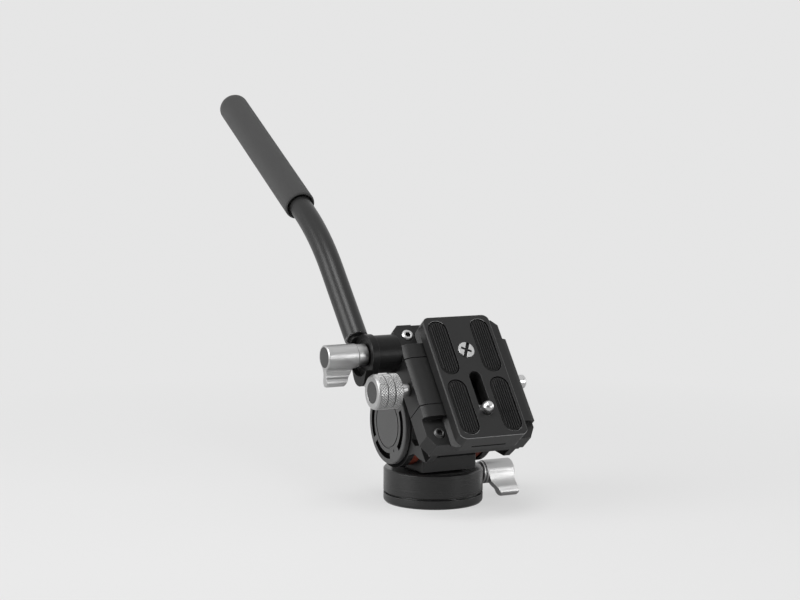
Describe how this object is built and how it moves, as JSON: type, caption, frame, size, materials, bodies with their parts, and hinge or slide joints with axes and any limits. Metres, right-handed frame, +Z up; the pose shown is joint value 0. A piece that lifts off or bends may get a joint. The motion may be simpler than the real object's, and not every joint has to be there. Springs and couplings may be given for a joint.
{
  "type": "fluid video head",
  "caption": "Compact two-axis camera head: panning base, damped tilt yoke, quick-release clamp with dovetail plate, wing locks and a bent rear handle.",
  "frame": {"origin": "centre of the base's underside, on the tripod thread's axis", "axes": "+Z up along the pan axis, X along the tilt axis with +X to the pan lock, -Y towards the lens side"},
  "size_m": [0.1165, 0.2315, 0.2101],
  "materials": {
    "black_anodised": "satin black anodised",
    "cover_grey": "satin dark grey anodised",
    "black_tube": "fine satin black coating",
    "grip_rubber": "matte foam rubber",
    "black_rubber": "ribbed rubber",
    "satin_silver": "bead-blasted silver anodised",
    "inlay_grey": "matte dark grey",
    "bright_steel": "turned steel",
    "dark_steel": "blackened steel",
    "bronze": "sintered bronze",
    "black_polymer": "black low-friction polymer",
    "orange_ring": "orange-red polymer"
  },
  "bodies": {
    "base": {"base_plate": "black_anodised", "base_housing": "black_anodised", "thread_bush": "bright_steel", "base_screws": "dark_steel", "thrust_washer": "black_polymer", "brake_shoe": "bronze"},
    "pan_lock": {"pan_knob": "satin_silver", "pan_knob_cap": "inlay_grey", "pan_screw": "bright_steel"},
    "pan": {"pedestal": "black_anodised", "pan_spindle": "bright_steel", "tilt_axle": "bright_steel", "left_drag_ring": "orange_ring", "right_drag_ring": "orange_ring"},
    "tilt": {"tilt_saddle": "black_anodised", "left_bearing": "bronze", "right_bearing": "bronze", "left_cover": "cover_grey", "right_cover": "cover_grey", "clamp_body": "black_anodised", "clamp_screws": "bright_steel", "handle_boss": "black_anodised", "rod_nut": "bright_steel"},
    "tilt_lock": {"tilt_knob": "satin_silver", "tilt_knob_cap": "inlay_grey", "tilt_screw": "bright_steel"},
    "jaw": {"moving_jaw": "black_anodised"},
    "clamp_turn": {"clamp_knob": "satin_silver", "clamp_knob_cap": "inlay_grey", "clamp_rod": "bright_steel"},
    "plate": {"quick_plate": "black_anodised", "plate_pads": "black_rubber"},
    "camera_stud": {"camera_screw": "bright_steel"},
    "rear_stud": {"rear_screw": "bright_steel"},
    "handle": {"handle_block": "black_anodised", "handle_tube": "black_tube", "handle_grip": "grip_rubber", "block_screw": "bright_steel"},
    "handle_lock": {"handle_knob": "satin_silver", "handle_knob_cap": "inlay_grey", "handle_bolt": "bright_steel"}
  },
  "joints": [
    {"name": "pan_turn", "type": "hinge", "parent": "base", "child": "pan", "pos_m": [0, 0, 0.0187], "axis": [0, 0, 1], "continuous": true},
    {"name": "tilt_swing", "type": "hinge", "parent": "pan", "child": "tilt", "pos_m": [0, 0, 0.0423], "axis": [1, 0, 0], "range_deg": [-110, 20]},
    {"name": "pan_lock_turn", "type": "hinge", "parent": "base", "child": "pan_lock", "pos_m": [0.03, 0, 0.0124], "axis": [1, 0, 0], "range_deg": [-110, 0]},
    {"name": "tilt_lock_turn", "type": "hinge", "parent": "tilt", "child": "tilt_lock", "pos_m": [0.03, 0, 0.0423], "axis": [1, 0, 0], "range_deg": [-75, 0]},
    {"name": "clamp_knob_turn", "type": "hinge", "parent": "jaw", "child": "clamp_turn", "pos_m": [-0.04, -0.03028, 0.06447], "axis": [-1, 0, 0], "range_deg": [0, 1080]},
    {"name": "jaw_slide", "type": "slide", "parent": "tilt", "child": "jaw", "axis": [-1, 0, 0], "range_m": [0, 0.00375]},
    {"name": "plate_slide", "type": "slide", "parent": "tilt", "child": "plate", "axis": [0, -0.6225, -0.7826], "range_m": [-0.02, 0.012]},
    {"name": "camera_screw_slide", "type": "slide", "parent": "plate", "child": "camera_stud", "axis": [0, 0.6225, 0.7826], "range_m": [0, 0.018]},
    {"name": "rear_screw_turn", "type": "hinge", "parent": "plate", "child": "rear_stud", "pos_m": [0, -0.0341, 0.08297], "axis": [0, -0.7826, 0.6225], "range_deg": [0, 360]},
    {"name": "handle_swing", "type": "hinge", "parent": "tilt", "child": "handle", "pos_m": [-0.048, -0.01459, 0.08099], "axis": [1, 0, 0], "range_deg": [0, 100]},
    {"name": "handle_lock_turn", "type": "hinge", "parent": "handle", "child": "handle_lock", "pos_m": [-0.06, -0.01459, 0.08099], "axis": [-1, 0, 0], "range_deg": [0, 110]}
  ],
  "couplings": [
    {"joint": "clamp_knob_turn", "follows": "jaw_slide", "rad_per_m": 5026.5}
  ]
}
